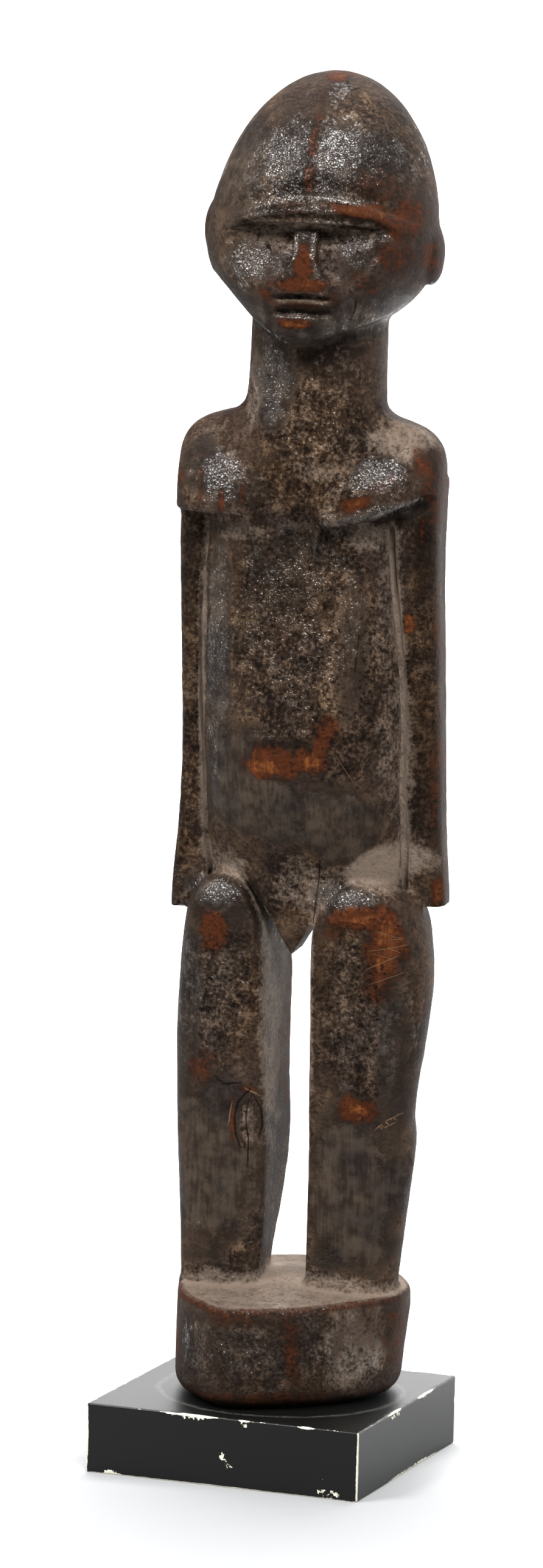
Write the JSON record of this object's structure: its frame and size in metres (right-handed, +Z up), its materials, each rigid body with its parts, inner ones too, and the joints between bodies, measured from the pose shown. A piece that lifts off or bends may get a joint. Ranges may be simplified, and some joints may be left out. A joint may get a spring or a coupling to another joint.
{
  "type": "carved standing figure on a display block",
  "caption": "Carved wooden standing figure with a schematic face and a round foot, resting on a square black-painted display block.",
  "frame": {"origin": "middle of the block's underside", "axes": "+Z up along the standing figure, the block's wide front towards -Y, the figure turned 8.5 degrees on it"},
  "size_m": [0.0781, 0.075, 0.3624],
  "materials": {
    "patinated_wood": "dark crusty patina with worn red-brown spots",
    "black_paint": "semi-gloss black paint with chipped edges"
  },
  "bodies": {
    "root": {"figure": "patinated_wood", "display_block": "black_paint"}
  },
  "joints": []
}
